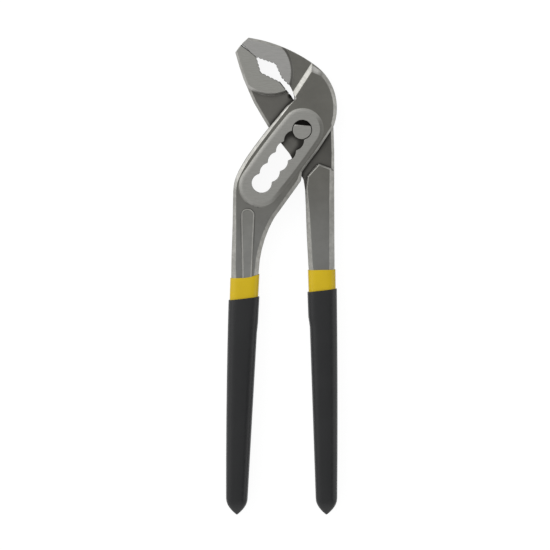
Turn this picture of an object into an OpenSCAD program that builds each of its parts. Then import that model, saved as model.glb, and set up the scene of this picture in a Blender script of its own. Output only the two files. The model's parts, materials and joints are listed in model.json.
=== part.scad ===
// Water pump pliers with a box joint, in millimetres.
// The tool lies flat: X runs across the handles, Y towards the jaws and Z through the thickness.
// The shapes are drawn round the pivot pin, with the middle plane at Z = 0.
// The module seat() moves them to the part's frame.

/* [Overall] */
// Length from the jaw tips to the handle ends
overall_length = 250; // [235:1:265]
// Height of the jaw tips above the pivot
jaw_reach = 48; // [47:0.1:49]
// Distance from the pivot to the outer side of the left grip
left_reach = 39.9; // [39:0.1:41.5]
// Distance from the pivot to the outer side of the right grip
right_reach = 18.6; // [18.2:0.1:20]

/* [Joint] */
// Lean of the slot from the X axis, in degrees
slot_angle = 53; // [51:0.5:55]
// Number of notches along the slot
notch_count = 6; // [4:1:6]
// Spacing of the notches
notch_pitch = 7.05; // [6.6:0.05:7.1]
// Diameter of the pivot pin
pin_diameter = 10.2; // [9.6:0.1:10.6]
// Radial gap between the pin and a notch
pin_clearance = 0.1; // [0.05:0.01:0.2]
// Distance from the pin's axis to its flat
pin_flat = 2.3; // [2:0.1:2.5]
// Depth of each pin end below the boss face
pin_recess = 0.3; // [0.1:0.05:0.5]
// Width and height of the chamfer round each pin end
pin_chamfer = 0.4; // [0.2:0.05:0.5]
// Opening of the handles at which the pin's flat lines up with the slot, in degrees
release_angle = 58; // [54:1:60]
// Thickness of the pinned lever where it passes through the slotted one
waist_thickness = 5; // [4.4:0.1:5.6]
// Gap on each side of the waist
side_clearance = 0.1; // [0.06:0.01:0.2]
// Thickness of each cheek beside the waist
cheek_thickness = 2.8; // [2.5:0.1:3.4]
// Height of the raised boss round the slot
boss_height = 0.6; // [0.4:0.05:0.9]
// Half the width of the boss at its ends
boss_radius = 11.1; // [10.8:0.1:11.4]
// Width of the rounded edge round the boss
boss_edge = 2.4; // [1.6:0.1:2.8]
// Half the width of the cheeks at the slot's upper side
cheek_width = 14.6; // [14.2:0.1:15]
// Width of the bevel along that side
cheek_bevel = 1.6; // [1.2:0.1:2]
// Gap between the pinned lever and the ends of the slit it passes through
slit_clearance = 0.8; // [0.5:0.1:1.2]

/* [Jaws] */
// Thickness of the jaws at their ground sides
jaw_thickness = 9.6; // [9:0.1:10.4]
// Depth of the hollow behind the upper jaw's ground side
jaw_hollow = 1; // [0.6:0.1:1.4]
// Width of the sloped edge of the ground sides
ground_slope = 1.4; // [0.8:0.1:1.8]
// Gap between the jaw tips
jaw_gap = 0.4; // [0.3:0.05:0.6]
// Gap between the jaws nearer the mouth
mouth_gap = 0.1; // [0.08:0.01:0.2]
// Radius of the rounded head beside the joint
head_radius = 27.5; // [27:0.1:28.2]
// Width of the bevel round the head
head_bevel = 2; // [1.4:0.1:2.4]
// Width of the sloped ridge between the cheeks and the upper jaw
ridge_width = 2.7; // [2.2:0.1:3]
// Spacing of the teeth
tooth_pitch = 1.9; // [1.6:0.1:2.4]
// Depth of the teeth
tooth_depth = 0.45; // [0.35:0.05:0.6]

/* [Handles] */
// Thickness of the bare handles
handle_thickness = 8.4; // [7.8:0.1:9]
// Width of the bevel on the handles' long edges
handle_bevel = 2.3; // [1.4:0.1:2.5]
// Width of the bevel on the right handle's outer edge
outer_bevel = 2.9; // [1.8:0.1:3.2]
// Height of those bevels
bevel_drop = 1.4; // [1:0.1:1.8]
// Width of the bevels on the waist's long edges
waist_bevel = 1.4; // [0.8:0.1:1.6]
// Width and height of the bevels on the right handle's shoulder
shoulder_bevel = 0.9; // [0.6:0.1:1.2]

/* [Grips] */
// Thickness of the yellow undercoat
undercoat_thickness = 0.6; // [0.5:0.05:1]
// Thickness of the black outer coat
grip_thickness = 1.2; // [1:0.1:1.5]
// Thickness of the outer coat at its upper edge
grip_lip = 0.6; // [0.4:0.05:0.8]
// Distance from the pivot down to the left undercoat's upper edge
left_undercoat_start = 77.7; // [76.5:0.1:80]
// Distance from the pivot down to the right undercoat's upper edge
right_undercoat_start = 73.5; // [72.8:0.1:76]
// Length of undercoat left showing
band_length = 10.8; // [9:0.1:14]
// Rise of the left undercoat's upper edge towards the other handle
band_rise = 2.2; // [0:0.1:2.4]
// Width of a grip above its rounded end
grip_end_width = 11.65; // [11:0.05:12.5]
// Length of the rounded end of a grip
grip_end = 8.5; // [7.5:0.1:11]

/* [Hidden] */
$fn = 96;

// Thicknesses and lengths that follow from the sizes above
waist_half = waist_thickness / 2;
slit_half = waist_half + side_clearance;
cheek_half = slit_half + cheek_thickness;
boss_half = cheek_half + boss_height;
jaw_half = jaw_thickness / 2;
hollow_half = jaw_half - jaw_hollow;
handle_half = handle_thickness / 2;
handle_reach = overall_length - jaw_reach;
pin_radius = pin_diameter / 2;
notch_radius = pin_radius + pin_clearance;
slot_length = (notch_count - 1) * notch_pitch;
neck_margin = 0.5;
neck_width = 2 * sqrt(pow(notch_radius, 2) - pow(notch_pitch / 2, 2)) + neck_margin;
through = 4 * boss_half;

// The pivot's place in the part's frame, whose origin is under the middle of the part
pivot_x = (left_reach - right_reach) / 2;
pivot_y = (handle_reach - jaw_reach) / 2;

// A point t along the slot from the first notch and u to the slot's upper left side
function along_slot(t, u) = [
  -t * cos(slot_angle) - u * sin(slot_angle),
  -t * sin(slot_angle) + u * cos(slot_angle)
];

// A point at an angle on a circle
function on_circle(c, r, a) = [c.x + r * cos(a), c.y + r * sin(a)];

// The point, or the number, a share f of the way from p to q
function between(p, q, f) = p + f * (q - p);

// The unit vector from p to q, and the one a quarter turn to its left
function way(p, q) = (q - p) / norm(q - p);
function left_of(v) = [-v.y, v.x];

// A step from 0 to 1 with soft ends
function soft_step(v) = let(k = min(1, max(0, v))) k * k * (3 - 2 * k);

// Parting line of the jaws, from the tip to the mouth: a gap that narrows to parting_share of its length
parting_tip = [-31.8, 44.6];
parting_end = [-23.9, 37.7];
parting_share = 0.6;
parting_middle = between(parting_tip, parting_end, parting_share);
parting_side = left_of(way(parting_tip, parting_end)) / 2;
upper_tip = parting_tip + jaw_gap * parting_side;
upper_middle = parting_middle + mouth_gap * parting_side;
upper_parting_end = parting_end + mouth_gap * parting_side;
lower_tip = parting_tip - jaw_gap * parting_side;
lower_middle = parting_middle - mouth_gap * parting_side;
lower_parting_end = parting_end - mouth_gap * parting_side;

// Corners of the mouth on each jaw, from the parting to the throat
upper_mouth = [[-14.1, 34.4], [-10.7, 27], [-6.1, 22.4], [-4.8, 19.5]];
lower_mouth = [[-21.6, 29.8], [-11.5, 24.8], [-9.4, 22.1], [-5.9, 17.8], [-4.6, 15.7]];

// Head and jaw back: two arcs that meet in line, the second one through the jaw tip
head_reach = 18.2;
head_centre = [head_reach - head_radius, 11.3];
blend_angle = 53.4;
blend_way = [cos(blend_angle), sin(blend_angle)];
jaw_tip = [-28.1, jaw_reach];
tip_way = jaw_tip - head_centre;
back_extra = (tip_way * tip_way - pow(head_radius, 2)) / (2 * (head_radius - tip_way * blend_way));
back_centre = head_centre - back_extra * blend_way;
back_radius = head_radius + back_extra;
tip_angle = acos((jaw_tip.x - back_centre.x) / back_radius);
function head(a) = on_circle(head_centre, head_radius, a);
function jaw_back(f) = on_circle(back_centre, back_radius, tip_angle + f * (blend_angle - tip_angle));

// Outer edge of the lower jaw, from its tip to the waist
lower_back = [
  [-35, 40.3], [-32.85, 32.9], [-30.75, 26.6], [-27.75, 19.6],
  [-25.25, 14], [-21.6, 7.7], [-17.3, 0.6]
];

// Corners of the pinned lever's waist and of its handle's shoulder
// Below the shoulder the thin waist runs on as a web along the handle's left edge
waist_lower = lower_back[6];
waist_side = [-6.7, -12.6];
waist_handle = [0.7, -26.3];
waist_upper = [16.4, 1.2];
waist_right = [16.8, -12];
shoulder_left = [2.5, -24.3];
shoulder_top = [8.5, -17.7];
shoulder_right = [16.7, -20.9];
web_end = [1.45, -35.5];

// Root of the slotted lever's handle: an arc that turns from the slot's direction to the handle's
root_top = along_slot(45.8, -16.2);
root_end = [-22.75, -75];
root_turn = 28;
root_chord = root_end - root_top;
root_radius = norm(root_chord) / (2 * sin(root_turn / 2));
root_facing = atan2(root_chord.y, root_chord.x) - 90;
root_way = [cos(root_facing), sin(root_facing)];
root_centre = (root_top + root_end) / 2 - root_radius * cos(root_turn / 2) * root_way;
function root(f) = on_circle(root_centre, root_radius, root_facing + (f - 0.5) * root_turn);

// Upper edges of the black coats
left_coat_start = left_undercoat_start + band_length;
right_coat_start = right_undercoat_start + band_length;
function coat_start(left) = left ? left_coat_start : right_coat_start;

// The bead at the top of a black coat, which falls away below it
bead_length = 19;
bead_fall = 6;
left_bead = 0.3;
right_bead = 0.6;
function bead(y, start) = soft_step((start + bead_length + y) / bead_fall);

// Sides of the black grips at a height y: bowed outside, and straight inside with a taper
bow_end = 185;
bow_length = 95;
left_bow = 1.3;
right_bow_end = 150;
right_bow_length = 64.5;
right_bow = 0.38;
taper_end = 188.4;
left_taper = 0.0559;
right_taper = 0.0345;
function left_edges(y) = [
  -left_reach + left_bow * pow((y + bow_end) / bow_length, 2),
  -left_reach + grip_end_width + left_taper * (y + taper_end) + left_bead * bead(y, left_coat_start)
];
function right_edges(y) = [
  right_reach - grip_end_width - right_taper * (y + taper_end) - right_bead * bead(y, right_coat_start),
  right_reach - right_bow * pow((y + right_bow_end) / right_bow_length, 2)
];
function edges_at(left, y) = left ? left_edges(y) : right_edges(y);

// Half the thickness of a black grip at a height y, fullest at its belly
belly = 140;
belly_length = 52;
belly_fall = 0.07;
function grip_half(y) = boss_half * (1 - belly_fall * pow((y + belly) / belly_length, 2));

// Thickness of the outer coat at a height y, which grows below its upper edge
lip_length = 15;
function lip_share(left, y) = min(1, max(0, (-y - coat_start(left)) / lip_length));
function coat(left, y) = between(grip_lip, grip_thickness, lip_share(left, y));

// How far a grip's end is drawn in, by the share s of its rounded end
end_fall = 0.95;
function drawn_in(s) = 1 - end_fall * s * s;

// One bevelled section between edge points l and r, with half thickness h and bevel widths bl and br
function section(l, r, h, bl, br, drop) = let(w = way(l, r), a = l + bl * w, b = r - br * w) [
  [l.x, l.y, drop - h],
  [l.x, l.y, h - drop],
  [a.x, a.y, h],
  [b.x, b.y, h],
  [r.x, r.y, h - drop],
  [r.x, r.y, drop - h],
  [b.x, b.y, -h],
  [a.x, a.y, -h]
];

// One rounded section of a grip at height y, with edges e and half thickness h
// The slope and the rise are those of the coat's upper edge
round_steps = 32;
roundness = 0.6;
rise_start = 0.2;
function power(v) = sign(v) * pow(abs(v), roundness);
function round_section(y, e, h, slope, rise) = let(m = (e[0] + e[1]) / 2, w = (e[1] - e[0]) / 2) [
  for (k = [0 : round_steps - 1])
    let(a = 180 - k * 360 / round_steps, f = power(cos(a)))
    [m + w * f, y + slope * w * f + rise * max(0, f - rise_start), h * power(sin(a))]
];

// A solid skinned over sections that all have the same number of points
module skin(sections) {
  n = len(sections[0]);
  last = len(sections) - 1;
  polyhedron(
    points = [for (s = sections) each s],
    faces = [
      [for (j = [n - 1 : -1 : 0]) j],
      for (i = [0 : last - 1])
        for (j = [0 : n - 1])
          each [
            [i * n + j, i * n + (j + 1) % n, (i + 1) * n + j],
            [i * n + (j + 1) % n, (i + 1) * n + (j + 1) % n, (i + 1) * n + j]
          ],
      [for (j = [0 : n - 1]) last * n + j]
    ]
  );
}

// Heights at which a handle's coats are drawn, from the upper edge to the rounded end
coat_bottom = handle_reach - grip_end;
coat_shares = [0, 0.04, 0.09, 0.125, 0.15, 0.175, 0.25, 0.4, 0.6, 0.8, 1];
end_shares = [0.2, 0.38, 0.54, 0.68, 0.8, 0.9, 0.96, 1];

// Slopes of the coats' upper edges, which die out below them
coat_slope = 0.118;
band_slope = 0.02;
slope_length = 25;
function dying(y, start) = max(0, 1 - (-y - start) / slope_length);

// Sections of the black coat, or of the undercoat where under is true
function inset(e, d) = [e[0] + d, e[1] - d];
function drawn(e, f) = let(m = (e[0] + e[1]) / 2, w = (e[1] - e[0]) / 2) [m - f * w, m + f * w];
function coat_sections(left, under) = let(
  start = coat_start(left) - (under ? band_length : 0),
  reach = grip_end - (under ? grip_thickness : 0),
  slope = under ? band_slope : coat_slope,
  rise = under && left ? band_rise : 0
) [
  for (f = coat_shares)
    let(y = -between(start, coat_bottom, f), d = under ? coat(left, y) : 0, share = dying(y, start))
    round_section(y, inset(edges_at(left, y), d), grip_half(y) - d, slope * share, rise * share),
  for (s = end_shares)
    let(
      y = -coat_bottom - s * reach,
      d = under ? coat(left, y) : 0,
      f = drawn_in(s),
      e = drawn(inset(edges_at(left, -coat_bottom), d), f)
    )
    round_section(y, e, f * (grip_half(-coat_bottom) - d), 0, 0)
];

// Sections of a lever's tang, which fills the undercoat and has broader bevels there
tang_bevel = 2.8;
tang_drop = 2.2;
tang_stop = 2;
function tang_height(left, i) = i < len(coat_shares) - 1
  ? -between(coat_start(left) - band_length, coat_bottom, coat_shares[i])
  : tang_stop - coat_bottom;
function tang_sections(left) = [
  for (i = [1 : len(coat_shares) - 1])
    let(
      y = tang_height(left, i),
      d = coat(left, y) + undercoat_thickness,
      e = inset(edges_at(left, y), d)
    )
    section([e[0], y], [e[1], y], grip_half(y) - d, tang_bevel, tang_bevel, tang_drop)
];

// Sections of the slotted lever's handle from above the undercoat to the tang's end
function left_rung(p, q, f) = section(
  p, q, between(cheek_half, handle_half, f), handle_bevel, handle_bevel, bevel_drop
);
function left_tang() = concat(
  [
    left_rung([-36.95, -64.5], root(0.78), 0.9),
    left_rung([-37.1, -72.5], root(0.95), 1)
  ],
  tang_sections(true)
);

// Sections of the pinned lever's handle from above the undercoat to the tang's end
function right_rung(p, q, bevel) = section(p, q, handle_half, bevel, outer_bevel, bevel_drop);
function right_tang() = concat(
  [
    right_rung([2.4, -55.5], [16.9, -55.5], handle_bevel),
    right_rung([3.25, -71], [17, -71], handle_bevel)
  ],
  tang_sections(false)
);

// Sections of the upper jaw from p to q on its inner edge and from share f to g of its back
// The break of the inner edge grows from v to w
jaw_bevel = 1.2;
jaw_drop = 1;
jaw_steps = 3;
edge_break = 0.3;
tip_break = 0.4;
parting_break = 0.04;
function upper_rung(p, q, v) = section(p, q, jaw_half, v, jaw_bevel, jaw_drop);
function jaw_rungs(p, q, f, g, v, w) = [
  for (k = [0 : jaw_steps - 1])
    let(s = k / jaw_steps)
    upper_rung(between(p, q, s), jaw_back(between(f, g, s)), between(v, w, s))
];

// Points on the cheek's upper left edge, which runs out a little towards the head
function cheek_edge(t, inward) = along_slot(t, cheek_width - inward);

// The bevel round the head, which flares where it meets the upper jaw's ridge
head_drop = 1.2;
flare_width = 2;
flare_start = 38;
function flare(a) = flare_width * soft_step((a - flare_start) / (blend_angle - flare_start));
function head_rung(p, a, v) = section(p, head(a), cheek_half, v, head_bevel + flare(a), head_drop);
function ridge_rung(p, f, v) = section(p, jaw_back(f), cheek_half, v, head_bevel + flare_width, head_drop);

// Sections of the head from p to q on the cheek's edge and from angle a to b on the head
// The bevel beside the cheek's edge grows from v to w
head_steps = 3;
function head_rungs(p, q, a, b, v, w) = [
  for (k = [0 : head_steps - 1])
    let(f = k / head_steps)
    head_rung(between(p, q, f), between(a, b, f), between(v, w, f))
];

// Sections of the cheeks and the handle's root
cheek_drop = 1.3;
lower_bevel = 1.2;
root_bevel = 2;
function cheek_rung(p, q, bevel) = section(p, q, cheek_half, cheek_bevel, bevel, cheek_drop);
function root_rung(p, q, f) = section(
  p, q, between(cheek_half, handle_half, f),
  between(cheek_bevel, handle_bevel, f), between(root_bevel, handle_bevel, f),
  between(cheek_drop, bevel_drop, f)
);

// The edge between the upper jaw and the cheeks, with the bevels at its ends, and the head's last angle
throat = [-4.2, 17.6];
throat_end = [-4.1, 15.6];
throat_bevel = 0.4;
throat_end_bevel = 1.4;
head_end = -20.3;

// Sections of the slotted lever from the jaw tip down
function slotted_sections() = concat(
  jaw_rungs(upper_tip, upper_middle, 0, 0.15, tip_break, parting_break),
  jaw_rungs(upper_middle, upper_parting_end, 0.15, 0.24, parting_break, parting_break),
  jaw_rungs(upper_parting_end, upper_mouth[0], 0.24, 0.5, parting_break, edge_break),
  jaw_rungs(upper_mouth[0], upper_mouth[1], 0.5, 0.74, edge_break, edge_break),
  jaw_rungs(upper_mouth[1], upper_mouth[2], 0.74, 0.8, edge_break, edge_break),
  [
    upper_rung(upper_mouth[2], jaw_back(0.8), edge_break),
    ridge_rung(between(upper_mouth[2], upper_mouth[3], 0.4), 0.9, edge_break),
    ridge_rung(upper_mouth[3], 1, edge_break)
  ],
  head_rungs(throat, throat_end, 49, 36, throat_bevel, throat_end_bevel),
  head_rungs(throat_end, cheek_edge(-5, 0.8), 36, 22, throat_end_bevel, cheek_bevel),
  head_rungs(cheek_edge(-5, 0.8), cheek_edge(-1, 0.6), 22, 8, cheek_bevel, cheek_bevel),
  head_rungs(cheek_edge(-1, 0.6), cheek_edge(3.5, 0.4), 8, -7, cheek_bevel, cheek_bevel),
  head_rungs(cheek_edge(3.5, 0.4), cheek_edge(8.3, 0.2), -7, head_end, cheek_bevel, cheek_bevel),
  [
    cheek_rung(cheek_edge(8.3, 0.2), head(head_end), lower_bevel),
    cheek_rung(cheek_edge(14, 0), along_slot(3.5, -13.2), lower_bevel),
    cheek_rung(cheek_edge(22, 0), along_slot(12, -13.2), lower_bevel),
    cheek_rung(cheek_edge(26, 0.1), along_slot(17.8, -13.4), lower_bevel),
    cheek_rung(cheek_edge(28, 0.15), along_slot(19.6, -14.4), between(lower_bevel, root_bevel, 0.4)),
    cheek_rung(cheek_edge(30, 0.25), along_slot(21.8, -15.6), root_bevel),
    cheek_rung(cheek_edge(34, 0.7), along_slot(28, -15.8), root_bevel),
    cheek_rung(cheek_edge(37, 1.1), along_slot(33, -15.9), root_bevel),
    root_rung([-34.4, -24.4], along_slot(37, -16), 0),
    root_rung([-35.3, -26.8], along_slot(40.5, -16.05), 0.05),
    root_rung([-35.85, -29.5], along_slot(43.5, -16.1), 0.12),
    root_rung([-36.1, -32.5], root(0), 0.2),
    root_rung([-36.2, -37], root(0.1), 0.3),
    root_rung([-36.3, -42], root(0.22), 0.42),
    root_rung([-36.4, -49], root(0.4), 0.6),
    root_rung([-36.65, -57], root(0.6), 0.78)
  ],
  left_tang()
);

// Sections of the pinned lever from the jaw tip down
function jaw_rung(p, q, v) = section(p, q, jaw_half, jaw_bevel, v, jaw_drop);
function pinned_sections() = concat(
  [
    jaw_rung(lower_back[0], lower_tip, tip_break),
    jaw_rung(between(lower_back[0], lower_back[1], parting_share), lower_middle, parting_break),
    jaw_rung(lower_back[1], lower_parting_end, parting_break),
    jaw_rung(lower_back[2], lower_mouth[0], edge_break),
    jaw_rung(lower_back[3], lower_mouth[1], edge_break),
    jaw_rung(lower_back[4], lower_mouth[2], edge_break),
    jaw_rung(lower_back[5], lower_mouth[3], edge_break),
    jaw_rung(between(lower_back[5], waist_lower, 0.4), lower_mouth[4], edge_break),
    jaw_rung(waist_lower, between(lower_mouth[4], waist_upper, 0.5), edge_break),
    section(waist_side, waist_upper, jaw_half, waist_bevel, waist_bevel, jaw_drop),
    right_rung(waist_handle, waist_right, waist_bevel),
    right_rung([1.5, -31.5], [16.8, -24], waist_bevel),
    right_rung([1.95, -42], [16.85, -40], between(waist_bevel, handle_bevel, 0.5))
  ],
  right_tang()
);

// Teeth: grooves across the edge from p to q
module teeth(p, q) {
  count = floor(norm(q - p) / tooth_pitch);
  for (k = [0 : count - 1])
    translate(between(p, q, (k + 0.5) / count))
      rotate(atan2(q.y - p.y, q.x - p.x) + 45)
        cube([sqrt(2) * tooth_depth, sqrt(2) * tooth_depth, through], center = true);
}

// The same cut in the front and the back
module both_sides() {
  children();
  mirror([0, 0, 1]) children();
}

// A sloped cut along the edge from p to q, falling by drop over width to the left of that line
module slope_cut(p, q, top, width, drop, past) {
  run = 0.5;
  slope = norm([width, drop]);
  both_sides()
    translate([p.x, p.y, top - drop])
      rotate(atan2(q.y - p.y, q.x - p.x))
        rotate([-atan2(drop, width), 0, 0])
          translate([-run, -slope - run, 0])
            cube([norm(q - p) + 2 * run, slope + run + past, through]);
}

// A round ground side on both faces, of the given radius halfway down its sloped edge from top to floor
// The slope carries on below the floor by the given depth
module ground_side(centre, radius, top, floor, depth) {
  rise = top - floor;
  slope = ground_slope / rise;
  foot = radius + ground_slope / 2;
  both_sides()
    translate([centre.x, centre.y, floor - depth])
      cylinder(h = depth + 2 * rise, r1 = foot + depth * slope, r2 = foot - 2 * ground_slope);
}

// A cut on both faces down to the height floor
module face_cut(floor) {
  both_sides()
    translate([0, 0, floor])
      linear_extrude(through) children();
}

// The raised boss round the slot, with round ends and bowed sides
// Its edge falls gently at first and more steeply from boss_turn, a share of the edge's width
boss_steps = 24;
boss_over_top = 0.4;
boss_over_end = 1.4;
boss_first = -boss_over_top;
boss_last = slot_length + boss_over_end;
boss_bow = 0.5;
boss_lean = 4;
boss_turn = 0.46;
boss_turn_drop = 0.18;
boss_sink = 0.15;
function boss_end(t, r, facing) = [
  for (k = [0 : boss_steps])
    on_circle(along_slot(t, 0), r, facing + between(boss_lean - 90, 90 - boss_lean, k / boss_steps))
];
function boss_side(r, side, shares) = [
  for (f = shares)
    along_slot(between(boss_first, boss_last, f), side * (r + 4 * boss_bow * f * (1 - f)))
];
function boss_outline(r) = concat(
  boss_end(boss_first, r, slot_angle),
  boss_side(r, 1, [0.25, 0.5, 0.75]),
  boss_end(boss_last, r, slot_angle + 180),
  boss_side(r, -1, [0.75, 0.5, 0.25])
);
function boss_ring(r, z) = [for (p = boss_outline(r)) [p.x, p.y, z]];
module boss() {
  top = boss_radius - boss_edge;
  turn = boss_radius - boss_edge * boss_turn;
  turn_half = boss_half - boss_turn_drop;
  foot = boss_radius + boss_sink * (boss_radius - turn) / (turn_half - cheek_half);
  skin([
    boss_ring(top, boss_half),
    boss_ring(turn, turn_half),
    boss_ring(foot, cheek_half - boss_sink),
    boss_ring(foot, boss_sink - cheek_half),
    boss_ring(turn, -turn_half),
    boss_ring(top, -boss_half)
  ]);
}

// The slot with its notches, cut through both cheeks
module slot() {
  for (i = [0 : notch_count - 1])
    translate(along_slot(i * notch_pitch, 0))
      cylinder(r = notch_radius, h = through, center = true);
  translate(along_slot(slot_length / 2, 0))
    rotate(slot_angle)
      cube([slot_length, neck_width, through], center = true);
}

// The slit between the cheeks, which leaves the pinned lever room to turn at every notch
opening = release_angle + 2;
slit_radius = norm(waist_lower) + slit_clearance;
slit_far = 40;
slit_last = along_slot(slot_length, 0) - [0, slit_clearance];
slit_corner = on_circle([0, 0], slit_radius, opening);
module slit() {
  linear_extrude(2 * slit_half, center = true) {
    circle(r = slit_radius);
    polygon([
      slit_corner,
      slit_corner + slit_far * [sin(opening), -cos(opening)],
      [45, -60],
      slit_last + [6.2, -28],
      slit_last + [-7.8, -14.6],
      slit_last + [-30, -14.6],
      [-50, 8],
      [-12, 13]
    ]);
  }
}

// The hollow behind the upper jaw's ground side, and the sloped ridge between it and the cheeks
ridge_low = [-4.1, 18.8];
ridge_high = [5.4, 33.4];
ridge_way = way(ridge_low, ridge_high);
ridge_foot = ridge_width / 2 * left_of(ridge_way);
ridge_step = 0.1;
ridge_past = 4;
ridge_past_low = 8;
ridge_past_high = 22;
upper_ground = [-25.8, 30.1];
upper_ground_radius = 20.6;
module upper_hollow() {
  difference() {
    face_cut(hollow_half)
      polygon([
        [-15.6, 50],
        ridge_high + ridge_foot * (1 - ridge_step) + ridge_past_high * ridge_way,
        ridge_low + ridge_foot * (1 - ridge_step) - ridge_past_low * ridge_way,
        [-15.6, 13.2]
      ]);
    ground_side(upper_ground, upper_ground_radius, jaw_half, hollow_half, ridge_step);
  }
}
module ridge_cut() {
  slope_cut(
    ridge_low + ridge_foot - ridge_past * ridge_way,
    ridge_high + ridge_foot + ridge_past * ridge_way,
    cheek_half, ridge_width, cheek_half - hollow_half, 0
  );
}

// The pinned lever's waist, thinned between the lower jaw's ground side and the handle's shoulder
lower_ground = [-16.2, 37.55];
lower_ground_radius = 19.15;
waist_top = 26;
waist_far = 50;
module waist_cut() {
  difference() {
    union() {
      face_cut(waist_half)
        polygon([
          [-waist_far, waist_top],
          [waist_far, waist_top],
          between(shoulder_top, shoulder_right, 2.5),
          shoulder_top,
          shoulder_left,
          web_end,
          [-waist_far, web_end.y]
        ]);
      for (i = [2 : 5])
        waist_edge(lower_back[i + 1], lower_back[i]);
    }
    ground_side(lower_ground, lower_ground_radius, jaw_half, waist_half, 2 * waist_drop);
  }
}

// Bevels on the waist's other edges and on the handle's shoulder
waist_drop = 1;
module waist_edge(p, q) {
  slope_cut(p, q, waist_half, waist_bevel, waist_drop, waist_bevel);
}
module shoulder_edge(p, q) {
  slope_cut(p, q, handle_half, shoulder_bevel, shoulder_bevel, shoulder_bevel);
}
module waist_bevels() {
  waist_edge(waist_upper, waist_right);
  waist_edge(waist_right, shoulder_right);
  shoulder_edge(web_end, shoulder_left);
  shoulder_edge(shoulder_left, shoulder_top);
  shoulder_edge(shoulder_top, shoulder_right);
}

// Moves the pliers from the pivot's place to the part's frame
module seat() {
  translate([pivot_x, pivot_y, boss_half]) children();
}

module slotted_lever() {
  color("silver")
    seat()
      difference() {
        union() {
          skin(slotted_sections());
          boss();
        }
        slot();
        slit();
        upper_hollow();
        ridge_cut();
        teeth(upper_parting_end, upper_mouth[0]);
        teeth(upper_mouth[0], upper_mouth[1]);
        teeth(upper_mouth[1], upper_mouth[2]);
      }
}

module pinned_lever() {
  color("gray")
    seat()
      difference() {
        skin(pinned_sections());
        waist_cut();
        waist_bevels();
        cylinder(r = pin_radius, h = through, center = true);
        teeth(lower_parting_end, lower_mouth[0]);
        teeth(lower_mouth[0], lower_mouth[1]);
        teeth(lower_mouth[2], lower_mouth[3]);
      }
}

// The pin, round where it is pressed into the waist and flattened at both ends
module pivot_pin() {
  pin_half = boss_half - pin_recess;
  shank_half = pin_half - pin_chamfer;
  flat_way = slot_angle + 90 - release_angle;
  color("lightgray")
    seat()
      difference() {
        union() {
          cylinder(r = pin_radius, h = 2 * shank_half, center = true);
          both_sides()
            translate([0, 0, shank_half])
              cylinder(h = pin_chamfer, r1 = pin_radius, r2 = pin_radius - pin_chamfer);
        }
        both_sides()
          rotate(flat_way)
            translate([pin_flat, -pin_radius, waist_half])
              cube([pin_diameter, pin_diameter, through]);
      }
}

module left_grip_undercoat() {
  color("gold")
    seat()
      difference() {
        skin(coat_sections(true, true));
        skin(left_tang());
      }
}

module left_grip() {
  color("dimgray")
    seat()
      difference() {
        skin(coat_sections(true, false));
        skin(coat_sections(true, true));
      }
}

module right_grip_undercoat() {
  color("gold")
    seat()
      difference() {
        skin(coat_sections(false, true));
        skin(right_tang());
      }
}

module right_grip() {
  color("dimgray")
    seat()
      difference() {
        skin(coat_sections(false, false));
        skin(coat_sections(false, true));
      }
}

slotted_lever();
pinned_lever();
pivot_pin();
left_grip_undercoat();
left_grip();
right_grip_undercoat();
right_grip();
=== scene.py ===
"""Water pump pliers lying flat, seen from above and a little from the jaws' side.

The levers, the pin and the dipped coats are copies of the CAD nodes with their sharp edges rounded.
The raised plate on the slotted lever's handle is made here, and so are the finishes, the light and
the camera. The steel's finishes also hold painted highlights on bevels and painted shade in corners
and recesses.
"""

import json
import math
from collections import namedtuple

import bmesh
import bpy
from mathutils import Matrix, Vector
from mathutils.bvhtree import BVHTree


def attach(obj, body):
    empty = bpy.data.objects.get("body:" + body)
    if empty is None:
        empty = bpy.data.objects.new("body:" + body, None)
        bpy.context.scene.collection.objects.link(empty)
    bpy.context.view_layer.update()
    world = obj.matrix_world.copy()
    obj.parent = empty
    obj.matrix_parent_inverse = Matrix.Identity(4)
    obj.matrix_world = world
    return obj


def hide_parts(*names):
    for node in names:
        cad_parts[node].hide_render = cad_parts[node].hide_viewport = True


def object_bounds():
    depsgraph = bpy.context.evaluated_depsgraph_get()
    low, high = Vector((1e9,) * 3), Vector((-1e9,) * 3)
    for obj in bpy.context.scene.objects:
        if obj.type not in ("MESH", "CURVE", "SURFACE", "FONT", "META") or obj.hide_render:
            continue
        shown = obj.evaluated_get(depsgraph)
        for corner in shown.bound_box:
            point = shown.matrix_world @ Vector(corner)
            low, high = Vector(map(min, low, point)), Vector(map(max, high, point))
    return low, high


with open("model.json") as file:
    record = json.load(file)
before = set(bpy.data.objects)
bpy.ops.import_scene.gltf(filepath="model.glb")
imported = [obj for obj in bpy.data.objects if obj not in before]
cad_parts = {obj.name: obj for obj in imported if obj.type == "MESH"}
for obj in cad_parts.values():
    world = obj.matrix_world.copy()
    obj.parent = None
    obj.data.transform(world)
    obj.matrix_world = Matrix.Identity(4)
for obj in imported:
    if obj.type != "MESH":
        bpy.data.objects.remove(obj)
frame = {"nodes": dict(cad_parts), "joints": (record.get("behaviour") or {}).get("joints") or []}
cad_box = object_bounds()

SCENE = bpy.context.scene
SCENE.view_settings.view_transform = "Standard"

MM = 0.001

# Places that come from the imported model
PIVOT = Vector(frame["joints"][0]["pos_m"])
TOP_Z = cad_box[1][2]
MIDDLE_Z = PIVOT.z

# The photograph's frame: its width, the size of a pixel at the object, and the pivot's pixel
IMAGE = 550
PIXEL = 0.5237 * MM
PIVOT_PIXEL = (301.65, 129.0)

# The camera: how far away, how far towards the jaws, and the height that it shows at true size
CAMERA_DISTANCE = 6.0
CAMERA_TILT = math.radians(2.5)
TRUE_HEIGHT = 9.0 * MM
SENSOR = 36.0
CLIP_END = 20.0


def from_pivot(x, y):
    """A place seen from above, given in millimetres from the pivot."""
    return Vector((PIVOT.x + x * MM, PIVOT.y + y * MM))


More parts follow.
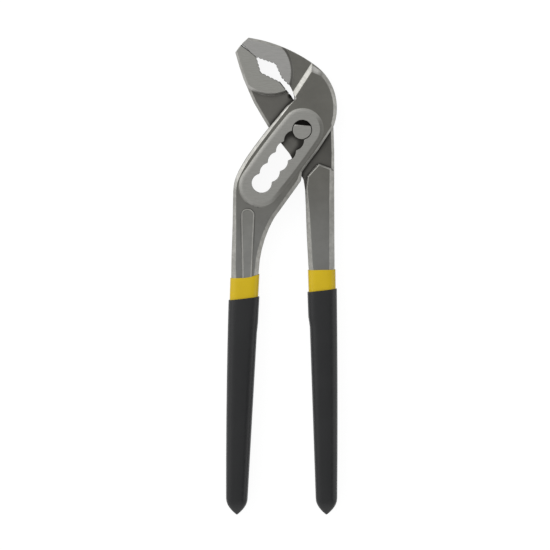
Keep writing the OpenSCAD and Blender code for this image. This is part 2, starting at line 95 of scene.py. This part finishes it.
def at_pixel(x, y):
    """The place seen from above that lies under a pixel of the photograph."""
    return Vector((PIVOT.x + (x - PIVOT_PIXEL[0]) * PIXEL, PIVOT.y + (PIVOT_PIXEL[1] - y) * PIXEL))


# Shader nodes

# The colour sockets of a Mix node, which share their names with its other sockets
MIX_A = 6
MIX_B = 7
MIX_RESULT = 2


def link(tree, source, target):
    tree.links.new(source, target)


def add_node(tree, kind, **inputs):
    """A shader node with its named sockets set."""
    node = tree.nodes.new(kind)
    for name, value in inputs.items():
        node.inputs[name].default_value = value
    return node


def maths(tree, operation, a, b=None, c=None):
    """A maths node on sockets or numbers; gives its output socket."""
    node = tree.nodes.new("ShaderNodeMath")
    node.operation = operation
    for index, value in enumerate((a, b, c)):
        if value is None:
            continue
        if isinstance(value, (int, float)):
            node.inputs[index].default_value = value
        else:
            link(tree, value, node.inputs[index])
    return node.outputs[0]


def times(tree, a, b):
    return maths(tree, "MULTIPLY", a, b)


def minus(tree, a, b):
    return maths(tree, "SUBTRACT", a, b)


def plus(tree, a, b):
    return maths(tree, "ADD", a, b)


def span(tree, value, low, high, start=0.0, end=1.0):
    """A smooth step of value between low and high, from start to end."""
    node = tree.nodes.new("ShaderNodeMapRange")
    node.interpolation_type = "SMOOTHSTEP"
    node.inputs["From Min"].default_value = low
    node.inputs["From Max"].default_value = high
    node.inputs["To Min"].default_value = start
    node.inputs["To Max"].default_value = end
    link(tree, value, node.inputs["Value"])
    return node.outputs["Result"]


def window(tree, value, low, high, fade):
    """One where the value is between low and high, and nothing outside them."""
    over = span(tree, value, low - fade, low + fade)
    under = span(tree, value, high - fade, high + fade, 1.0, 0.0)
    return times(tree, over, under)


def mix_colour(tree, share, a, b):
    """A blend of two colours, each a socket or a tuple."""
    node = tree.nodes.new("ShaderNodeMix")
    node.data_type = "RGBA"
    link(tree, share, node.inputs["Factor"])
    for socket, value in ((node.inputs[MIX_A], a), (node.inputs[MIX_B], b)):
        if isinstance(value, tuple):
            socket.default_value = (*value, 1.0)
        else:
            link(tree, value, socket)
    return node.outputs[MIX_RESULT]


def shaded(colour, level):
    return tuple(level * c for c in colour)


def noise(tree, coords, scale, detail, rough):
    node = add_node(tree, "ShaderNodeTexNoise", Scale=scale, Detail=detail, Roughness=rough)
    link(tree, coords, node.inputs["Vector"])
    return node.outputs["Fac"]


def stretched(tree, coords, turn, scale):
    """Coordinates turned about Z and scaled, for grain that runs one way."""
    node = add_node(tree, "ShaderNodeMapping", Rotation=(0.0, 0.0, turn), Scale=scale)
    link(tree, coords, node.inputs["Vector"])
    return node.outputs["Vector"]


def split(tree, vector):
    """The three parts of a vector, as sockets."""
    node = tree.nodes.new("ShaderNodeSeparateXYZ")
    link(tree, vector, node.inputs[0])
    return node.outputs


def new_material(name):
    material = bpy.data.materials.new(name)
    material.use_nodes = True
    tree = material.node_tree
    return material, tree, tree.nodes["Principled BSDF"]


def add_bump(tree, shader, height, strength, distance):
    node = add_node(tree, "ShaderNodeBump", Strength=strength, Distance=distance)
    link(tree, height, node.inputs["Height"])
    link(tree, node.outputs["Normal"], shader.inputs["Normal"])


# Steel

# Colours as linear reflectances: the head's and the handles' fields, bevels rubbed bright with painted
# highlight, and painted shade
FORGED = (0.176, 0.173, 0.156)
HANDLE = (0.228, 0.228, 0.217)
FIELD = (FORGED, HANDLE)
WORN_AND_LIT = (0.305, 0.301, 0.282)
PAINTED_SHADE = (0.014, 0.013, 0.012)
BLACK = (0.0, 0.0, 0.0)

# The waist's colours: a darker tone at the left of the pivot and painted shade at the right, under the
# cheek's overhang; where the one turns into the other; and the height over which this deep tone ends
WAIST_TONE_AND_SHADE = ((0.162, 0.158, 0.145), (0.118, 0.115, 0.105))
WAIST_TURNS = (PIVOT.x + 2.0 * MM, PIVOT.x + 8.0 * MM)
DEEP_FADE = 0.2 * MM

# Places along Y between which the handles' tone turns into the head's, and the painted corner shade
# ends
TONE_TURNS = (12.0 * MM, 60.0 * MM)
CORNER_SHADE_ENDS = (12.0 * MM, 20.0 * MM)

# Heights of the faces from the middle plane, a slab that holds the pads' face, and the top of what
# lies below it
CHEEK_FACE = 5.4 * MM
PAD_FACE = 4.8 * MM
WAIST_FACE = 2.5 * MM
PAD_HEIGHTS = (4.65 * MM, 4.95 * MM)
BELOW_PAD = 4.75 * MM

# How softly a patch ends in height and, unless it says otherwise, sideways
SLAB_FADE = 0.03 * MM
SOFT = 0.4 * MM

# A height or a distance that every point is beyond
NO_LIMIT = -1.0

# A finish of its own, or a patch of painted highlight or of painted shade: on level or on steep faces
# between two heights from the middle plane, and between two distances from a centre seen from above
Patch = namedtuple(
    "Patch", "colour low high centre outer inner soft steep", defaults=(NO_LIMIT, SOFT, False),
)

BOSS_FACE = Patch(
    colour=(0.334, 0.331, 0.312), low=CHEEK_FACE + 0.06 * MM, high=TOP_Z,
    centre=from_pivot(0.0, 0.0), outer=60.0 * MM,
)
# Painted shade on the boss's rim at the right, where the light falls away
BOSS_RIGHT_RIM_SHADE = Patch(
    colour=(0.205, 0.202, 0.186), low=CHEEK_FACE + 0.03 * MM, high=TOP_Z - MIDDLE_Z - 0.05 * MM,
    centre=from_pivot(80.0, -60.0), outer=97.0 * MM, soft=3.0 * MM,
)
# Painted highlight on the head's flare beside the ridge
HEAD_FLARE_HIGHLIGHT = Patch(
    colour=(0.540, 0.534, 0.512), low=4.4 * MM, high=CHEEK_FACE - 0.06 * MM,
    centre=from_pivot(7.8, 32.0), outer=2.8 * MM, soft=1.8 * MM,
)
UPPER_PAD = Patch(
    colour=(0.388, 0.384, 0.372), low=PAD_HEIGHTS[0], high=PAD_HEIGHTS[1],
    centre=from_pivot(-25.8, 30.1), outer=20.6 * MM,
)
# Painted shade on the steep slope round the upper pad
UPPER_PAD_SLOPE_SHADE = Patch(
    colour=(0.105, 0.103, 0.095), low=3.7 * MM, high=BELOW_PAD,
    centre=UPPER_PAD.centre, outer=21.4 * MM, inner=19.8 * MM, steep=True,
)
# Painted highlight on the cheek's bevel by the throat
THROAT_EDGE_HIGHLIGHT = Patch(
    colour=(0.500, 0.494, 0.472), low=4.0 * MM, high=CHEEK_FACE - 0.03 * MM,
    centre=from_pivot(-5.8, 11.8), outer=6.6 * MM, soft=1.2 * MM, steep=True,
)
LOWER_PAD = Patch(
    colour=(0.340, 0.338, 0.315), low=PAD_HEIGHTS[0], high=PAD_HEIGHTS[1],
    centre=from_pivot(-16.2, 37.55), outer=20.5 * MM,
)
# Painted highlight on the steep lip below the lower pad
LOWER_PAD_LIP_HIGHLIGHT = Patch(
    colour=(0.400, 0.395, 0.375), low=WAIST_FACE, high=BELOW_PAD,
    centre=LOWER_PAD.centre, outer=20.0 * MM, inner=16.8 * MM, steep=True,
)
# Painted shade in the throat corner, where the lower jaw runs under the slotted lever
THROAT_SHADE = Patch(
    colour=PAINTED_SHADE, low=NO_LIMIT, high=PAD_FACE,
    centre=from_pivot(-6.0, 17.6), outer=1.5 * MM, soft=0.7 * MM,
)
SLOTTED_PATCHES = (BOSS_FACE, BOSS_RIGHT_RIM_SHADE, HEAD_FLARE_HIGHLIGHT, UPPER_PAD, UPPER_PAD_SLOPE_SHADE, THROAT_EDGE_HIGHLIGHT)
PINNED_PATCHES = (LOWER_PAD, LOWER_PAD_LIP_HIGHLIGHT, THROAT_SHADE)

# Noise by scale, detail and roughness: clouds, fine grain, scuffs on the bevels, and brush lines
MOTTLE = (90.0, 4.0, 0.6)
GRAIN = (1400.0, 2.0, 0.6)
SCUFFS = (420.0, 4.0, 0.65)
BRUSHING = (1.0, 3.0, 0.6)
BRUSH_SCALE = (260.0, 3200.0, 900.0)

# The part of a noise that counts, narrow for lines and scuffs and wide for clouds
NARROW = (0.35, 0.65)
WIDE = (0.3, 0.7)

# The share of black in the clouds, and the levels of the scuffs and of the brush lines
MOTTLE_DARK = 0.14
SCUFF_LEVELS = (1.10, 0.86)
BRUSH_LEVEL = 0.9

# The upright part of a normal over which a face stops being steep, and over which it stops being
# a wall that gets no wear and no painted highlight
STEEP_SPAN = (0.86, 0.95)
WALL_SPAN = (0.15, 0.40)

# How far from a corner the painted shade lies, the openness over which it ends, and how much of it
# there is
CORNER_REACH = 4.0 * MM
CORNER_SPAN = (0.58, 0.97)
CORNER_SHADE = 0.80
PIN_CORNER_SHADE = 0.1

# Roughness of the field and of the ground faces, the brush lines' share of the relief, and its
# strength and depth
FIELD_ROUGH = (0.40, 0.48)
GROUND_ROUGH = (0.46, 0.54)
LINE_SHARE = 0.5
STEEL_BUMP = (0.35, 0.06 * MM)

Surface = namedtuple("Surface", "coords x y height upright steep mottle streaks")


def read_surface(tree, turn):
    """Where a point of the steel lies, which way it faces, and its clouds and brush lines."""
    coords = tree.nodes.new("ShaderNodeTexCoord").outputs["Object"]
    x, y, z = split(tree, coords)
    height = maths(tree, "ABSOLUTE", minus(tree, z, MIDDLE_Z))
    normal = tree.nodes.new("ShaderNodeNewGeometry").outputs["True Normal"]
    upright = maths(tree, "ABSOLUTE", split(tree, normal)["Z"])
    steep = span(tree, upright, *STEEP_SPAN, 1.0, 0.0)
    mottle = noise(tree, coords, *MOTTLE)
    streaks = noise(tree, stretched(tree, coords, turn, BRUSH_SCALE), *BRUSHING)
    return Surface(coords, x, y, height, upright, steep, mottle, streaks)


def field_colour(tree, at, field, deep_below, deep):
    """The forged field, from the head's tone to the handles', with a darker tone and painted shade
    below a height.
    """
    colour = mix_colour(tree, span(tree, at.y, *TONE_TURNS, 1.0, 0.0), *field)
    if deep_below is not None:
        low = span(tree, at.height, deep_below, deep_below + DEEP_FADE, 1.0, 0.0)
        right = span(tree, at.x, *WAIST_TURNS)
        colour = mix_colour(tree, low, colour, mix_colour(tree, right, *deep))
    return mix_colour(tree, span(tree, at.mottle, *WIDE, 0.0, MOTTLE_DARK), colour, BLACK)


def with_wear_and_highlight(tree, at, colour):
    """Bevels rubbed bright and given a painted highlight, with scuffs."""
    rubbed_and_lit = times(tree, at.steep, span(tree, at.upright, *WALL_SPAN))
    scuffs = span(tree, noise(tree, at.coords, *SCUFFS), *NARROW)
    light, dark = (shaded(WORN_AND_LIT, level) for level in SCUFF_LEVELS)
    return mix_colour(tree, rubbed_and_lit, colour, mix_colour(tree, scuffs, light, dark))


def patch_mask(tree, at, patch):
    """Where a patch lies on the steel."""
    across = minus(tree, at.x, patch.centre.x)
    along = minus(tree, at.y, patch.centre.y)
    squares = plus(tree, times(tree, across, across), times(tree, along, along))
    ring = window(tree, maths(tree, "SQRT", squares), patch.inner, patch.outer, patch.soft)
    slab = window(tree, at.height, patch.low, patch.high, SLAB_FADE)
    facing = at.steep if patch.steep else minus(tree, 1.0, at.steep)
    return times(tree, times(tree, ring, slab), facing)


def with_patches(tree, at, colour, patches):
    """The patches' brushed colours over a colour, and the share of ground face at each point."""
    ground = 0.0
    for patch in patches:
        here = patch_mask(tree, at, patch)
        lines = span(tree, at.streaks, *NARROW)
        brushed = mix_colour(tree, lines, patch.colour, shaded(patch.colour, BRUSH_LEVEL))
        colour = mix_colour(tree, here, colour, brushed)
        if not patch.steep:
            ground = maths(tree, "MAXIMUM", ground, here)
    return colour, ground


def with_corner_shade(tree, at, colour, shade_amount):
    """Painted shade in the corners, from ambient occlusion, apart from those beside the dipped coats.
    """
    corners = add_node(tree, "ShaderNodeAmbientOcclusion", Distance=CORNER_REACH)
    shade_share = span(tree, corners.outputs["AO"], *CORNER_SPAN, shade_amount, 0.0)
    shade_share = times(tree, shade_share, span(tree, at.y, *CORNER_SHADE_ENDS))
    return mix_colour(tree, shade_share, colour, PAINTED_SHADE)


def steel(name, field, patches=(), turn=0.0, deep_below=None, deep=None, shade_amount=CORNER_SHADE):
    """Forged steel: a dark satin field, lighter ground faces, bevels rubbed bright with painted
    highlight, and painted shade in the corners.

    field holds the colours by the head and at the handles. Below the height deep_below the steel has
    the colours deep, at the left and at the right of the pivot, which hold painted shade. turn is the
    angle of the brush lines.
    """
    material, tree, shader = new_material(name)
    at = read_surface(tree, turn)
    colour = field_colour(tree, at, field, deep_below, deep)
    colour = with_wear_and_highlight(tree, at, colour)
    colour, ground = with_patches(tree, at, colour, patches)
    link(tree, with_corner_shade(tree, at, colour, shade_amount), shader.inputs["Base Color"])
    shader.inputs["Metallic"].default_value = 1.0

    rest = minus(tree, 1.0, ground)
    dull = times(tree, span(tree, at.mottle, *WIDE, *FIELD_ROUGH), rest)
    shine = times(tree, span(tree, at.streaks, *WIDE, *GROUND_ROUGH), ground)
    link(tree, plus(tree, dull, shine), shader.inputs["Roughness"])

    grain = times(tree, noise(tree, at.coords, *GRAIN), rest)
    lines = times(tree, at.streaks, times(tree, ground, LINE_SHARE))
    add_bump(tree, shader, plus(tree, grain, lines), *STEEL_BUMP)
    return material


# Dipped vinyl

# Noise by scale, detail and roughness: clouds in the colour, the skin's specks, and its waves
CLOUDS = (70.0, 3.0, 0.55)
SKIN = (900.0, 3.0, 0.6)
WAVES = (160.0, 2.0, 0.5)

# How the specks change the roughness, their share of the relief, and its strength and depth
SKIN_ROUGH = (-0.05, 0.06)
SKIN_SHARE = 0.35
DIP_BUMP = (0.35, 0.10 * MM)

# Each coat's two colours, its roughness and its gloss
YELLOW_DIP = ((0.540, 0.379, 0.0015), (0.505, 0.351, 0.0012), 0.38, 0.34)
BLACK_DIP = ((0.0062, 0.0067, 0.0075), (0.0082, 0.0087, 0.0095), 0.42, 0.40)


def dip(name, light, deep, rough, gloss):
    """Dipped vinyl: a soft satin skin with faint waves and specks."""
    material, tree, shader = new_material(name)
    coords = tree.nodes.new("ShaderNodeTexCoord").outputs["Object"]
    clouds = span(tree, noise(tree, coords, *CLOUDS), *WIDE)
    skin = noise(tree, coords, *SKIN)
    waves = noise(tree, coords, *WAVES)
    link(tree, mix_colour(tree, clouds, light, deep), shader.inputs["Base Color"])
    smooth, coarse = (rough + change for change in SKIN_ROUGH)
    link(tree, span(tree, skin, *WIDE, smooth, coarse), shader.inputs["Roughness"])
    shader.inputs["Specular IOR Level"].default_value = gloss
    add_bump(tree, shader, plus(tree, times(tree, skin, SKIN_SHARE), waves), *DIP_BUMP)
    return material


# Copies of the CAD nodes

# What counts as one point, as one plane, and as a sharp edge when a node is copied
SEAM = 0.002 * MM
PLANE = math.radians(0.15)
SHARP = math.radians(22.0)

# The rounding of an edge, and how long an edge leaves room for it, as a share of its width
BEVEL_STEPS = 2
BEVEL_PROFILE = 0.6
ROOM = 0.8

# How often a rounded mesh is mended, the cross product of a triangle that counts as none, how far a
# turned triangle's normal may agree with its face's, and how close its points are in widths
MEND_ROUNDS = 8
TINY = 1e-12
TURNED = 0.5
CLOSE = 2.0

# Angles at which the shading breaks, at a ridge and in a hollow
BREAK = math.radians(40.0)
HOLLOW_BREAK = math.radians(12.0)

# How wide the edges are rounded
LEVER_ROUND = 0.25 * MM
PIN_ROUND = 0.20 * MM
UNDERCOAT_ROUND = 0.15 * MM
GRIP_ROUND = 0.20 * MM


def copied(node, whole):
    """The CAD node's mesh with its seams closed and, where asked, its flat faces whole."""
    build = bmesh.new()
    build.from_mesh(frame["nodes"][node].data)
    bmesh.ops.remove_doubles(build, verts=build.verts, dist=SEAM)
    if whole:
        bmesh.ops.dissolve_limit(build, angle_limit=PLANE, verts=build.verts, edges=build.edges)
    return build


def length(side):
    return (side[0].co - side[1].co).length


def crossed_corners(build, width):
    """Pairs of close points at which a face crosses itself."""
    pairs = {}
    for corner in build.calc_loop_triangles():
        a, b, c = (loop.vert for loop in corner)
        across = (b.co - a.co).cross(c.co - a.co)
        if across.length < TINY or across.normalized().dot(corner[0].face.normal) > TURNED:
            continue
        near, far = min(((a, b), (b, c), (c, a)), key=length)
        taken = {near, far} & (set(pairs) | set(pairs.values()))
        if length((near, far)) < CLOSE * width and not taken:
            pairs[near] = far
    return pairs


def mend(build, width):
    """Closes up the crossed corners that the rounding leaves where edges are short."""
    for _ in range(MEND_ROUNDS):
        pairs = crossed_corners(build, width)
        if not pairs:
            break
        bmesh.ops.weld_verts(build, targetmap=pairs)
        build.normal_update()


def round_edges(build, width):
    """Rounds the sharp edges, apart from those that end at a detail too small for the rounding."""
    bmesh.ops.remove_doubles(build, verts=build.verts, dist=width / 2)
    shortest = {v: min(e.calc_length() for e in v.link_edges) for v in build.verts if v.link_edges}
    sharp = [e for e in build.edges if e.is_manifold and e.calc_face_angle(0.0) > SHARP]
    rounded = [e for e in sharp if min(shortest[v] for v in e.verts) > ROOM * width]
    for edge in sharp:
        edge.smooth = False
    for edge in rounded:
        edge.smooth = True
    bmesh.ops.bevel(
        build, geom=rounded, offset=width, offset_type="OFFSET", segments=BEVEL_STEPS,
        profile=BEVEL_PROFILE, affect="EDGES", clamp_overlap=False,
    )
    mend(build, width)


def stays_sharp(edge):
    """Whether the shading breaks at an edge: at a steep one, and at a shallow one that is hollow."""
    if not edge.is_manifold:
        return False
    angle = edge.calc_face_angle(0.0)
    return angle > BREAK or (angle > HOLLOW_BREAK and not edge.is_convex)


def add_piece(name, build, body, slot, *materials):
    """Puts a built mesh in the scene as a smooth piece that moves with a body."""
    for face in build.faces:
        face.smooth = True
    for edge in build.edges:
        edge.smooth = edge.smooth and not stays_sharp(edge)
    mesh = bpy.data.meshes.new(name)
    build.to_mesh(mesh)
    build.free()
    for material in materials:
        mesh.materials.append(material)
    piece = bpy.data.objects.new(name, mesh)
    SCENE.collection.objects.link(piece)
    even = piece.modifiers.new("even", "WEIGHTED_NORMAL")
    even.keep_sharp = True
    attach(piece, body)
    return piece


def dressed(node, body, slot, material, width, whole=True):
    """A copy of a CAD node with rounded edges, which stands for it."""
    build = copied(node, whole)
    round_edges(build, width)
    piece = add_piece(node + ".dressed", build, body, slot, material)
    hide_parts(node)


# The raised plate on the slotted lever's handle

# Its outline in pixels: the top, and the left, right and level of its shoulders and of its foot, and
# the steps round its top
PLATE_TOP = 207.5
PLATE_SHOULDERS = (240.2, 254.4, 214.5)
PLATE_FOOT = (241.3, 251.6, 279.0)
PLATE_STEPS = 14

# Its section, as shares of the rim's width inward and heights over the handle's face
RIM_WIDTH = 1.0 * MM
RIM_HEIGHT = 0.40 * MM
PANEL_HEIGHT = 0.10 * MM
PLATE_ROOT = -0.2 * MM
PLATE_SECTION = (
    (0.0, PLATE_ROOT),
    (0.05, 0.0),
    (0.35, RIM_HEIGHT),
    (0.65, RIM_HEIGHT),
    (1.0, PANEL_HEIGHT),
)
RIM_MATERIAL = 1

# From how high the handle's face is felt for
PROBE_Z = TOP_Z + 10.0 * MM
DOWN = Vector((0.0, 0.0, -1.0))

# How much lighter the panel and the rim are than the head's and the handles' fields; the rim's
# lightness is wear and painted highlight on its raised edge
PANEL_LEVELS = (1.38, 1.20)
RIM_LIT_LEVELS = (2.2, 1.8)


def plate_outline():
    """Points round the plate, from its lower left corner over the round top to its lower right."""
    left, right, shoulder = PLATE_SHOULDERS
    low_left, low_right, bottom = PLATE_FOOT
    points = [at_pixel(low_left, bottom)]
    for step in range(PLATE_STEPS + 1):
        turn = math.pi * (1 - step / PLATE_STEPS)
        x = (left + right) / 2 + (right - left) / 2 * math.cos(turn)
        y = shoulder - (shoulder - PLATE_TOP) * math.sin(turn)
        points.append(at_pixel(x, y))
    points.append(at_pixel(low_right, bottom))
    return points


def inward(points, distance):
    """The same points moved towards the inside of the outline."""
    moved = []
    for index, point in enumerate(points):
        before = points[max(index - 1, 0)]
        after = points[min(index + 1, len(points) - 1)]
        along = (after - before).normalized()
        moved.append(point + distance * Vector((along.y, -along.x)))
    return moved


def add_plate(panel, rim):
    """A low panel inside a raised round-ended rim, sunk a little into the handle's face."""
    lever = copied("slotted_lever", True)
    surface = BVHTree.FromBMesh(lever)
    lever.free()
    build = bmesh.new()

    def laid(point, lift):
        hit = surface.ray_cast(Vector((point.x, point.y, PROBE_Z)), DOWN)[0]
        return build.verts.new((point.x, point.y, hit.z + lift))

    outline = plate_outline()
    count = len(outline)
    rows = []
    for share, lift in PLATE_SECTION:
        rows.append([laid(point, lift) for point in inward(outline, share * RIM_WIDTH)])
    for outer, inner in zip(rows, rows[1:]):
        for index in range(count):
            after = (index + 1) % count
            face = build.faces.new((outer[index], outer[after], inner[after], inner[index]))
            face.material_index = RIM_MATERIAL
    for ring in (rows[0], rows[-1]):
        for index in range(count // 2 - 1):
            build.faces.new((ring[index], ring[index + 1], ring[-2 - index], ring[-1 - index]))
    bmesh.ops.remove_doubles(build, verts=build.verts, dist=SEAM)
    bmesh.ops.recalc_face_normals(build, faces=build.faces)
    add_piece("handle_plate", build, "slotted_side", "slotted_steel", panel, rim)


# The whole object

# Which way the brush lines turn on each piece of steel
SLOTTED_TURN = math.radians(53.0)
PINNED_TURN = math.radians(20.0)
PIN_TURN = math.radians(-30.0)
PLATE_TURN = math.radians(90.0)

# Below these heights the waist has its own tone with painted shade at the right of the pivot, and the
# pin's side is painted black as shade
WAIST_BELOW = WAIST_FACE + 0.1 * MM
PIN_BELOW = WAIST_FACE + 0.5 * MM


def levelled(levels):
    """The field's two colours at other levels."""
    return tuple(shaded(colour, level) for colour, level in zip(FIELD, levels))


def dress():
    """All the pieces in their finishes."""
    slotted = steel("slotted_steel", FIELD, SLOTTED_PATCHES, SLOTTED_TURN)
    panel = steel("panel_steel", levelled(PANEL_LEVELS), turn=PLATE_TURN)
    rim = steel("lit_rim_steel", levelled(RIM_LIT_LEVELS), turn=PLATE_TURN)
    pinned = steel("pinned_steel", FIELD, PINNED_PATCHES, PINNED_TURN, WAIST_BELOW, WAIST_TONE_AND_SHADE)
    pin = steel("pin_steel", FIELD, (BOSS_FACE,), PIN_TURN, PIN_BELOW, (PAINTED_SHADE, PAINTED_SHADE), PIN_CORNER_SHADE)
    yellow = dip("yellow_dip", *YELLOW_DIP)
    black = dip("black_dip", *BLACK_DIP)
    dressed("slotted_lever", "slotted_side", "slotted_steel", slotted, LEVER_ROUND)
    dressed("pinned_lever", "pinned_side", "pinned_steel", pinned, LEVER_ROUND)
    dressed("pivot_pin", "pinned_side", "pin_steel", pin, PIN_ROUND)
    for side, body in (("left", "slotted_side"), ("right", "pinned_side")):
        dressed(side + "_grip_undercoat", body, "yellow_dip", yellow, UNDERCOAT_ROUND, False)
        dressed(side + "_grip", body, "black_dip", black, GRIP_ROUND, False)
    add_plate(panel, rim)


# Camera, light and floor

# The surround's levels: overhead, at the sides, more at the left and at both ends, and the shade
# above the right with its middle direction
OVERHEAD = 0.90
SIDES = 0.90
LEFT_EXTRA = 0.25
ENDS_EXTRA = 0.60
SHADE = 0.85
SHADE_WAY = (0.53, -0.19, 0.826)

# The height over which the sides turn into overhead, and the nearness over which the shade starts
OVERHEAD_SPAN = (0.55, 0.95)
SHADE_SPAN = (0.92, 0.975)

# The lamps: name, place, size and power
LAMPS = (
    ("key", (-0.78, 0.60, 0.52), 1.05, 7.6),
    ("fill", (1.0, 0.0, 0.52), 1.0, 3.0),
)

# The floor's half width, its reflectance, how much it glows to the eye, and how far down it lies
FLOOR_REACH = 3.0
FLOOR_MATTE = 0.12
FLOOR_GLOW = 0.92
FLOOR_DROP = 0.02 * MM


def add_camera():
    """A distant camera that looks down from a little towards the jaws."""
    middle = (IMAGE - 1) / 2
    centre = at_pixel(middle, middle).to_3d()
    centre.z = TRUE_HEIGHT
    back = Vector((0.0, math.sin(CAMERA_TILT), math.cos(CAMERA_TILT)))
    data = bpy.data.cameras.new("camera")
    data.type = "PERSP"
    data.sensor_width = SENSOR
    data.sensor_fit = "HORIZONTAL"
    data.lens = SENSOR * CAMERA_DISTANCE / (IMAGE * PIXEL)
    data.clip_end = CLIP_END
    camera = bpy.data.objects.new("camera", data)
    camera.location = centre + CAMERA_DISTANCE * back
    camera.rotation_euler = (-CAMERA_TILT, 0.0, 0.0)
    SCENE.collection.objects.link(camera)
    SCENE.camera = camera


def add_world():
    """A soft surround: brighter at the left and at both ends, and dark above the right."""
    world = bpy.data.worlds.new("studio")
    SCENE.world = world
    world.use_nodes = True
    tree = world.node_tree
    tree.nodes.clear()
    coords = tree.nodes.new("ShaderNodeTexCoord").outputs["Generated"]
    x, y, z = split(tree, coords)
    side = maths(tree, "MULTIPLY_ADD", x, -LEFT_EXTRA, SIDES)
    side = maths(tree, "MULTIPLY_ADD", times(tree, y, y), ENDS_EXTRA, side)
    above = span(tree, z, *OVERHEAD_SPAN)
    level = maths(tree, "MULTIPLY_ADD", above, minus(tree, OVERHEAD, side), side)
    towards = tree.nodes.new("ShaderNodeVectorMath")
    towards.operation = "DOT_PRODUCT"
    link(tree, coords, towards.inputs[0])
    towards.inputs[1].default_value = SHADE_WAY
    shade = span(tree, towards.outputs["Value"], *SHADE_SPAN, 0.0, SHADE)
    background = tree.nodes.new("ShaderNodeBackground")
    link(tree, minus(tree, level, shade), background.inputs["Strength"])
    output = tree.nodes.new("ShaderNodeOutputWorld")
    link(tree, background.outputs[0], output.inputs["Surface"])


def floor_material():
    """A pale floor that takes a faint shadow of the object and reads as white elsewhere."""
    material = bpy.data.materials.new("floor")
    material.use_nodes = True
    tree = material.node_tree
    tree.nodes.clear()
    matte = add_node(tree, "ShaderNodeBsdfDiffuse", Color=(FLOOR_MATTE, FLOOR_MATTE, FLOOR_MATTE, 1.0))
    path = tree.nodes.new("ShaderNodeLightPath").outputs
    direct = maths(tree, "MAXIMUM", path["Is Camera Ray"], path["Is Transmission Ray"])
    direct = maths(tree, "MAXIMUM", direct, path["Is Glossy Ray"])
    glow = tree.nodes.new("ShaderNodeEmission")
    link(tree, times(tree, direct, FLOOR_GLOW), glow.inputs["Strength"])
    both = tree.nodes.new("ShaderNodeAddShader")
    link(tree, matte.outputs[0], both.inputs[0])
    link(tree, glow.outputs[0], both.inputs[1])
    output = tree.nodes.new("ShaderNodeOutputMaterial")
    link(tree, both.outputs[0], output.inputs["Surface"])
    return material


def add_floor():
    """A wide floor just under the object."""
    reach = FLOOR_REACH
    corners = [(-reach, -reach, 0.0), (reach, -reach, 0.0), (reach, reach, 0.0), (-reach, reach, 0.0)]
    mesh = bpy.data.meshes.new("floor")
    mesh.from_pydata(corners, [], [(0, 1, 2, 3)])
    mesh.materials.append(floor_material())
    floor = bpy.data.objects.new("floor", mesh)
    floor.location.z = -FLOOR_DROP
    SCENE.collection.objects.link(floor)


def add_softbox(name, place, size, power):
    """A square lamp that faces the middle of the object."""
    data = bpy.data.lights.new(name, "AREA")
    data.shape = "SQUARE"
    data.size = size
    data.energy = power
    lamp = bpy.data.objects.new(name, data)
    lamp.location = place
    lamp.rotation_euler = (-Vector(place)).to_track_quat("-Z", "Y").to_euler()
    SCENE.collection.objects.link(lamp)


add_camera()
add_world()
add_floor()
for lamp in LAMPS:
    add_softbox(*lamp)
dress()
